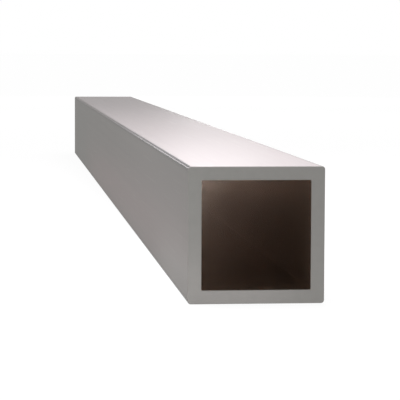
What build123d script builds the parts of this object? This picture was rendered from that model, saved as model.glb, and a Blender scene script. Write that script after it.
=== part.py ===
from build123d import *
import os

# Square tube extruded in aluminium and sawn square at both ends.
# The tube lies along Y and rests on its underside. The origin is the centre of
# the underside, half-way along the tube. Millimetres, +Z up.

# Driving dimensions
OUTSIDE_WIDTH = 50.0  # across the flats, the same both ways
WALL_THICKNESS = 5.0
TUBE_LENGTH = 1000.0
OUTER_CORNER_RADIUS = 1.2  # the long outside corners
INNER_CORNER_RADIUS = 0.5  # the long corners of the hollow
END_DEBURR = 0.2  # filed off each edge that the saw leaves

# Worked out from the driving dimensions
HOLLOW_WIDTH = OUTSIDE_WIDTH - 2 * WALL_THICKNESS
AXIS_HEIGHT = OUTSIDE_WIDTH / 2


def tube_section():
    """The die's opening: a rounded square with a rounded square hollow in its middle."""
    with BuildSketch(Plane.XZ) as section:
        with Locations((0, AXIS_HEIGHT)):
            RectangleRounded(OUTSIDE_WIDTH, OUTSIDE_WIDTH, OUTER_CORNER_RADIUS)
            RectangleRounded(
                HOLLOW_WIDTH, HOLLOW_WIDTH, INNER_CORNER_RADIUS, mode=Mode.SUBTRACT
            )
    return section.sketch


def square_tube():
    """The section pushed out to length, with the sawn edges of both ends broken."""
    with BuildPart() as tube:
        extrude(tube_section(), amount=TUBE_LENGTH / 2, both=True)
        sawn_ends = tube.faces().filter_by(Axis.Y)
        chamfer(sawn_ends.edges(), length=END_DEBURR)
    return tube.part


os.makedirs("parts", exist_ok=True)
export_step(square_tube(), "parts/square_tube.step")
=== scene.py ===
import math

import bpy
from mathutils import Euler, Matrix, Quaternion, Vector


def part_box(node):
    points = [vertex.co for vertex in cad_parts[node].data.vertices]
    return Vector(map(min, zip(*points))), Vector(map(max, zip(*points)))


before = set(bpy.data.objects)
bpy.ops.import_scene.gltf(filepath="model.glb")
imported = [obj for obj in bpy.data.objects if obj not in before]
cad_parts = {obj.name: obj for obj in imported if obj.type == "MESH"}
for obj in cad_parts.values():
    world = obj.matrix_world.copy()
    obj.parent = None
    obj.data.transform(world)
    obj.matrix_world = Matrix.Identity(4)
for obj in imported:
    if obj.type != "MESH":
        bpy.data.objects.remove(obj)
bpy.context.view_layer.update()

# The tube, in metres and in the frame's own axes: it lies along Y and rests on Z = 0.
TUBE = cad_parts["square_tube"]
LOW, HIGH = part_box("square_tube")
MM = 0.001
HALF_WIDTH = (HIGH.x - LOW.x) / 2
HALF_LENGTH = (HIGH.y - LOW.y) / 2
AXIS_HEIGHT = (LOW.z + HIGH.z) / 2
WALL = 5.0 * MM
CORNER_RADIUS = 1.2 * MM
DEBURR = 0.2 * MM  # the bevel of the ends' edges

# The camera stands in front of the near end, to its left and a little above it.
CAMERA_PLACE = Vector((-0.0936, -1.1876, 0.0923))
CAMERA_YAW = math.radians(-6.058)
CAMERA_PITCH = math.radians(-4.499)
CAMERA_ROLL = math.radians(0.226)
CAMERA_LENS = 173.2
CAMERA_SENSOR = 36.0
CAMERA_SEES = (0.01, 100.0)  # the nearest and the farthest that it shows

# The room
FLOOR_HALF = 30.0
FLOOR_PAINT = (0.9, 0.9, 0.9)
FLOOR_WHITE = 0.92  # the share of plain white in the floor that the camera sees
ROOM_WHITE = (1.0, 1.0, 1.0)

# What most of the lamps shine at, and the colours of their light
TUBE_TOP = (0, -0.3, 0.05)
WHITE = (1.0, 1.0, 1.0)
LILAC = (0.98, 0.93, 1.0)
ROSE = (1.0, 0.89, 0.97)
PINK = (1.0, 0.92, 0.96)
RED = (1.0, 0.45, 0.52)
MINT = (0.85, 1.0, 0.99)

# The finish of each part of the surface. GRAZE is the metal's Specular Tint, which says how
# much of its shine is left at a low angle.
SATIN = (0.227, 0.220, 0.209)  # the outside and the sawn ends
SATIN_ROUGHNESS = 0.50
SATIN_GRAZE = (0.55, 0.55, 0.55)
BEVEL_METAL_AND_PAINTED_LIGHT = (0.31, 0.302, 0.288)  # the bevels of the ends, paler partly for their bare metal and partly as painted light that lifts their shade
EDGE_ROUGHNESS = 0.70
BROWN = (0.225, 0.158, 0.113)  # the walls of the hollow, which are stained
HOLLOW_ROUGHNESS = 0.165
HOLLOW_GRAZE = (0.855, 0.775, 0.71)
HOLLOW_METAL = 0.76  # the share of bare metal that the stain leaves

# The long corners shine less than the flats at a low angle, and are rubbed smoother towards
# the near end. FROM and TO say where each of these fades out, in corner radii off the middle
# of the corner, so 1 is where the corner meets a flat.
CORNER_GRAZE = (0.48, 0.48, 0.48)
CORNER_FROM = 1.4
CORNER_TO = 1.9
RUBBED_ROUGHNESS = 0.19
RUBBED_GRAZE = (0.30, 0.30, 0.30)
RUBBED_FROM = 0.9
RUBBED_TO = 1.1
RUBBING_STARTS = 0.2  # on Y; from here the rubbing grows until it is full at the near end

# The texture: how many bumps there are to a metre along each axis, and how deep they are
DIE_LINES = (2200, 9, 2200)
DIE_LINE_DEPTH = 0.004 * MM
SCRATCHES = (1100, 16, 1100)
SCRATCH_TURN = (0.06, 0.05, 0.10)
SCRATCH_DEPTH = 0.001 * MM
SCRATCH_FROM = 0.73  # the value of the noise at which a scratch begins
SCRATCH_TO = 0.79  # and at which it is full
SAW_LINES = (90, 1, 2400)
SAW_TURN = (0, 0.35, 0)
SAW_DEPTH = 0.002 * MM
STREAKS = (360, 2.5, 360)
CLOUDS = (30, 9, 30)
TONE_SPREAD = 0.05
ROUGHNESS_SPREAD = 0.03

# How often a ray may bounce: it goes far down the hollow, from wall to wall.
BOUNCES = 16
GLOSSY_BOUNCES = 12


class Graph:
    """The nodes of a material or a world, made and joined by plain calls."""

    def __init__(self, tree):
        self.nodes = tree.nodes
        self.links = tree.links
        self.nodes.clear()

    def node(self, kind, **settings):
        node = self.nodes.new("ShaderNode" + kind)
        for name, value in settings.items():
            setattr(node, name, value)
        return node

    def feed(self, socket, value):
        """Joins the socket to an output, or sets it to a plain value."""
        if isinstance(value, bpy.types.NodeSocket):
            self.links.new(value, socket)
        elif socket.type == "RGBA":
            socket.default_value = (*value, 1.0)
        else:
            socket.default_value = value

    def show(self, shader, kind):
        """Makes the shader what the material or the world shows."""
        out = self.node("Output" + kind)
        self.feed(out.inputs["Surface"], shader.outputs[0])

    def math(self, operation, *values):
        node = self.node("Math", operation=operation)
        for socket, value in zip(node.inputs, values):
            self.feed(socket, value)
        return node.outputs[0]

    def product(self, first, *others):
        """All the values multiplied together."""
        for other in others:
            first = self.math("MULTIPLY", first, other)
        return first

    def flip(self, share):
        """1 where share is 0, and 0 where it is 1."""
        return self.math("SUBTRACT", 1.0, share)

    def blend(self, share, first, second):
        """The colour first where share is 0, and second where it is 1."""
        node = self.node("Mix", data_type="RGBA")
        self.feed(node.inputs[0], share)
        colours = [socket for socket in node.inputs if socket.type == "RGBA"]
        self.feed(colours[0], first)
        self.feed(colours[1], second)
        return next(socket for socket in node.outputs if socket.type == "RGBA")

    def between(self, share, first, second):
        """The number first where share is 0, and second where it is 1."""
        node = self.node("MapRange", clamp=False)
        self.feed(node.inputs["Value"], share)
        self.feed(node.inputs["To Min"], first)
        self.feed(node.inputs["To Max"], second)
        return node.outputs[0]

    def step(self, value, low, high):
        """0 below low, 1 above high and smooth between them."""
        node = self.node("MapRange", interpolation_type="SMOOTHSTEP")
        self.feed(node.inputs["Value"], value)
        self.feed(node.inputs["From Min"], low)
        self.feed(node.inputs["From Max"], high)
        return node.outputs[0]

    def noise(self, place, per_metre, detail, turn=(0, 0, 0)):
        """Noise from 0 to 1, with about per_metre bumps to a metre along each axis."""
        mapping = self.node("Mapping")
        self.feed(mapping.inputs["Vector"], place)
        self.feed(mapping.inputs["Rotation"], turn)
        self.feed(mapping.inputs["Scale"], per_metre)
        node = self.node("TexNoise")
        self.feed(node.inputs["Vector"], mapping.outputs[0])
        self.feed(node.inputs["Scale"], 1.0)
        self.feed(node.inputs["Detail"], detail)
        return node.outputs[0]

    def seen(self):
        """1 for camera, glossy and transmission rays, and 0 for those that light a surface."""
        path = self.node("LightPath")
        direct = self.math("MAXIMUM", path.outputs["Is Camera Ray"], path.outputs["Is Glossy Ray"])
        return self.math("MAXIMUM", direct, path.outputs["Is Transmission Ray"])

    def mix_shaders(self, share, first, second):
        node = self.node("MixShader")
        self.feed(node.inputs[0], share)
        self.feed(node.inputs[1], first.outputs[0])
        self.feed(node.inputs[2], second.outputs[0])
        return node


def new_material(name):
    """A material with no nodes yet, and its graph."""
    material = bpy.data.materials.new(name)
    material.use_nodes = True
    return material, Graph(material.node_tree)


def new_object(name, data):
    item = bpy.data.objects.new(name, data)
    bpy.context.scene.collection.objects.link(item)
    return item


def make_camera():
    data = bpy.data.cameras.new("camera")
    data.lens = CAMERA_LENS
    data.sensor_width = CAMERA_SENSOR
    data.clip_start, data.clip_end = CAMERA_SEES
    camera = new_object("camera", data)
    level_view = math.pi / 2
    aim = Euler((level_view + CAMERA_PITCH, 0.0, CAMERA_YAW)).to_quaternion()
    camera.rotation_mode = "QUATERNION"
    camera.rotation_quaternion = aim @ Quaternion((0, 0, 1), CAMERA_ROLL)
    camera.location = CAMERA_PLACE
    bpy.context.scene.camera = camera


def make_world():
    """An even white room."""
    world = bpy.data.worlds.new("studio")
    bpy.context.scene.world = world
    world.use_nodes = True
    graph = Graph(world.node_tree)
    room = graph.node("Background")
    graph.feed(room.inputs["Color"], ROOM_WHITE)
    graph.feed(room.inputs["Strength"], 1.0)
    graph.show(room, "World")


def make_floor():
    """A plain white floor that keeps a soft shadow of the tube."""
    mesh = bpy.data.meshes.new("floor")
    half = FLOOR_HALF
    corners = [(-half, -half, 0), (half, -half, 0), (half, half, 0), (-half, half, 0)]
    mesh.from_pydata(corners, [], [(0, 1, 2, 3)])
    floor = new_object("floor", mesh)
    material, graph = new_material("floor_white")
    paint = graph.node("BsdfDiffuse")
    graph.feed(paint.inputs["Color"], FLOOR_PAINT)
    glow = graph.node("Emission")
    share = graph.math("MULTIPLY", graph.seen(), FLOOR_WHITE)
    graph.show(graph.mix_shaders(share, paint, glow), "Material")
    # The glow is only there to be seen, so no light is sent from it.
    material.cycles.emission_sampling = "NONE"
    mesh.materials.append(material)


def area_lamp(name, place, target, size, watts, colour):
    """A rectangle that shines at the target, and that the camera doesn't see."""
    data = bpy.data.lights.new(name, "AREA")
    data.shape = "RECTANGLE"
    data.size, data.size_y = size
    data.energy = watts
    data.color = colour
    lamp = new_object(name, data)
    lamp.location = place
    lamp.rotation_mode = "QUATERNION"
    lamp.rotation_quaternion = (Vector(target) - Vector(place)).to_track_quat("-Z", "Y")
    lamp.visible_camera = False


def make_lamps():
    """Softboxes over the tube and beyond it, low strips along its left side, and a soft lamp
    and a strip in front of its near end."""
    area_lamp("over_near", (-0.06, -0.36, 0.35), (0, -0.42, 0.05), (0.2, 0.2), 2.26, LILAC)
    area_lamp("over_middle", (0.1, 0.1, 0.5), TUBE_TOP, (0.3, 0.3), 2.31, ROSE)
    area_lamp("over_beyond", (0.1, 1.6, 0.6), TUBE_TOP, (0.4, 0.4), 1.55, ROSE)
    area_lamp("right_beyond", (0.34, 2.5, 0.25), TUBE_TOP, (0.16, 0.3), 1.37, WHITE)
    area_lamp("left_beyond", (-0.33, 2.5, 0.25), TUBE_TOP, (0.14, 0.3), 0.6, PINK)
    area_lamp("hollow_beyond", (0.28, 2.5, 0.19), (0, 0.5, 0.04), (0.06, 0.05), 0.15, WHITE)
    area_lamp("left_strip", (-0.075, -0.15, 0.003), (-0.025, -0.15, 0.01), (0.9, 0.004), 0.0197, RED)
    area_lamp("left_foot", (-0.06, -0.42, 0.002), (-0.025, -0.42, 0.005), (0.16, 0.003), 0.0049, MINT)
    area_lamp("near_left", (-0.15, -0.9, 0.03), (-0.02, -0.5, 0.02), (0.2, 0.06), 0.16, MINT)
    area_lamp("near_foot", (-0.01, -0.54, 0.002), (-0.01, -0.5, 0), (0.05, 0.003), 0.0022, PINK)


def parts_of_surface(graph, place):
    """Where the hollow, the ends, their bevels, the outside, the corners and their rubbed
    stretches are. Each is 1 there and 0 elsewhere."""
    axes = graph.node("SeparateXYZ")
    graph.feed(axes.inputs[0], place)
    across = graph.math("ABSOLUTE", axes.outputs["X"])
    up = graph.math("ABSOLUTE", graph.math("SUBTRACT", axes.outputs["Z"], AXIS_HEIGHT))
    off_axis = graph.math("MAXIMUM", across, up)
    along = graph.math("ABSOLUTE", axes.outputs["Y"])
    off_corner = graph.math("DIVIDE", graph.math("SUBTRACT", across, up), CORNER_RADIUS)
    off_corner = graph.math("ABSOLUTE", off_corner)

    # A bevel lies between two depths behind the end, and the margin keeps both clear of it.
    margin = 0.05 * DEBURR
    hollow = graph.math("LESS_THAN", off_axis, HALF_WIDTH - WALL + DEBURR / 2)
    end = graph.math("GREATER_THAN", along, HALF_LENGTH - DEBURR / 2)
    bevel = graph.product(
        graph.math("GREATER_THAN", along, HALF_LENGTH - DEBURR + margin),
        graph.math("LESS_THAN", along, HALF_LENGTH - margin),
    )
    outside = graph.flip(graph.math("MAXIMUM", hollow, end))
    corner = graph.product(graph.flip(graph.step(off_corner, CORNER_FROM, CORNER_TO)), outside)
    rubbed = graph.product(
        graph.flip(graph.step(off_corner, RUBBED_FROM, RUBBED_TO)),
        graph.flip(graph.step(axes.outputs["Y"], LOW.y, RUBBING_STARTS)),
        corner,
    )
    return hollow, end, bevel, outside, corner, rubbed


def make_metal():
    """Extruded aluminium: satin outside, browner and smoother in the hollow, with fine die
    lines along the tube, a few faint scratches, saw lines across the ends, bevels on their edges
    made paler partly for their bare metal and partly as painted light that lifts their shade, and
    long corners that are rubbed smoother towards the near end."""
    material, graph = new_material("aluminium")
    place = graph.node("TexCoord").outputs["Object"]
    hollow, end, bevel, outside, corner, rubbed = parts_of_surface(graph, place)

    die_lines = graph.noise(place, DIE_LINES, 1.0)
    streaks = graph.noise(place, STREAKS, 2.0)
    clouds = graph.noise(place, CLOUDS, 3.0)
    scratches = graph.noise(place, SCRATCHES, 0.0, SCRATCH_TURN)
    scratches = graph.step(scratches, SCRATCH_FROM, SCRATCH_TO)
    saw_lines = graph.noise(place, SAW_LINES, 1.0, SAW_TURN)

    colour = graph.blend(hollow, SATIN, BROWN)
    # The bevels get a paler colour, partly for their bare metal and partly as painted light that
    # lifts their shade.
    colour = graph.blend(bevel, colour, BEVEL_METAL_AND_PAINTED_LIGHT)
    tone = graph.math(
        "ADD",
        graph.between(streaks, 1.0 - TONE_SPREAD, 1.0 + TONE_SPREAD),
        graph.between(clouds, -TONE_SPREAD, TONE_SPREAD),
    )
    toned = graph.node("VectorMath", operation="SCALE")
    graph.feed(toned.inputs[0], colour)
    graph.feed(toned.inputs["Scale"], tone)

    roughness = graph.between(rubbed, SATIN_ROUGHNESS, RUBBED_ROUGHNESS)
    roughness = graph.between(hollow, roughness, HOLLOW_ROUGHNESS)
    spread = graph.between(clouds, -ROUGHNESS_SPREAD, ROUGHNESS_SPREAD)
    roughness = graph.math("ADD", roughness, spread)
    roughness = graph.math("SUBTRACT", roughness, graph.product(scratches, ROUGHNESS_SPREAD))
    roughness = graph.between(bevel, roughness, EDGE_ROUGHNESS)

    graze = graph.blend(corner, SATIN_GRAZE, CORNER_GRAZE)
    graze = graph.blend(rubbed, graze, RUBBED_GRAZE)
    graze = graph.blend(hollow, graze, HOLLOW_GRAZE)

    lines = graph.product(die_lines, DIE_LINE_DEPTH)
    drawn = graph.math("SUBTRACT", lines, graph.product(scratches, SCRATCH_DEPTH))
    sawn = graph.product(saw_lines, SAW_DEPTH, end)
    bump = graph.node("Bump")
    graph.feed(bump.inputs["Height"], graph.math("ADD", graph.product(drawn, outside), sawn))
    graph.feed(bump.inputs["Distance"], 1.0)
    graph.feed(bump.inputs["Strength"], 1.0)

    metal = graph.node("BsdfPrincipled")
    graph.feed(metal.inputs["Metallic"], graph.between(hollow, 1.0, HOLLOW_METAL))
    graph.feed(metal.inputs["Base Color"], toned.outputs[0])
    graph.feed(metal.inputs["Roughness"], roughness)
    graph.feed(metal.inputs["Specular Tint"], graze)
    graph.feed(metal.inputs["Normal"], bump.outputs[0])
    graph.show(metal, "Material")
    TUBE.material_slots[0].material = material


make_camera()
make_world()
make_floor()
make_lamps()
make_metal()
scene = bpy.context.scene
scene.view_settings.view_transform = "Standard"
scene.cycles.max_bounces = BOUNCES
scene.cycles.glossy_bounces = GLOSSY_BOUNCES
